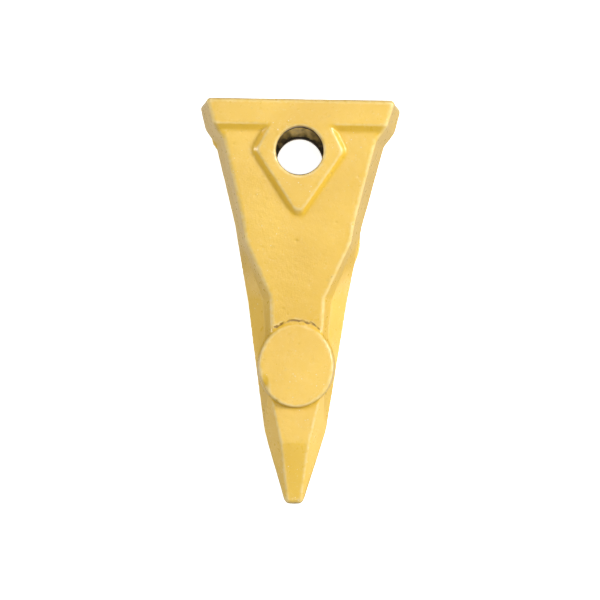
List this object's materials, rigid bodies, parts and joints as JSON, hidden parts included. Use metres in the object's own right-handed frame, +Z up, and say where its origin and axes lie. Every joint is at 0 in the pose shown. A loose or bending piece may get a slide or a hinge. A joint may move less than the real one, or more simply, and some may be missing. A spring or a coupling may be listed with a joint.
{
  "type": "excavator bucket tooth",
  "caption": "Pick-shaped bucket tooth with a hollow socket for the adapter's nose, a cross bore and the retaining pin set that locks it on.",
  "frame": {"origin": "centre of the underside of the assembly as it lies on the ground", "axes": "+Z up; -Y towards the pick's tip and +Y out of the socket's mouth, with the tooth's own axis 9.5 degrees nose-down; X across the tooth"},
  "size_m": [0.116, 0.2354, 0.0967],
  "materials": {
    "yellow_paint": "satin paint over a sand-cast surface",
    "pin_steel": "hardened, dark",
    "key_steel": "turned bright",
    "black_rubber": "matt"
  },
  "bodies": {
    "tooth": {"tooth_point": "yellow_paint"},
    "pin_set": {"retaining_pin": "pin_steel", "pin_rubber": "black_rubber"},
    "lock": {"lock_key": "key_steel"}
  },
  "joints": [
    {"name": "pin_takes_out", "type": "slide", "parent": "tooth", "child": "pin_set", "axis": [0, 1, 0], "range_m": [0, 0.15]},
    {"name": "lock_press", "type": "slide", "parent": "pin_set", "child": "lock", "axis": [0, 0, -1], "range_m": [0, 0.003], "stiffness_N_per_m": 40000, "deforming": ["pin_rubber"]}
  ]
}
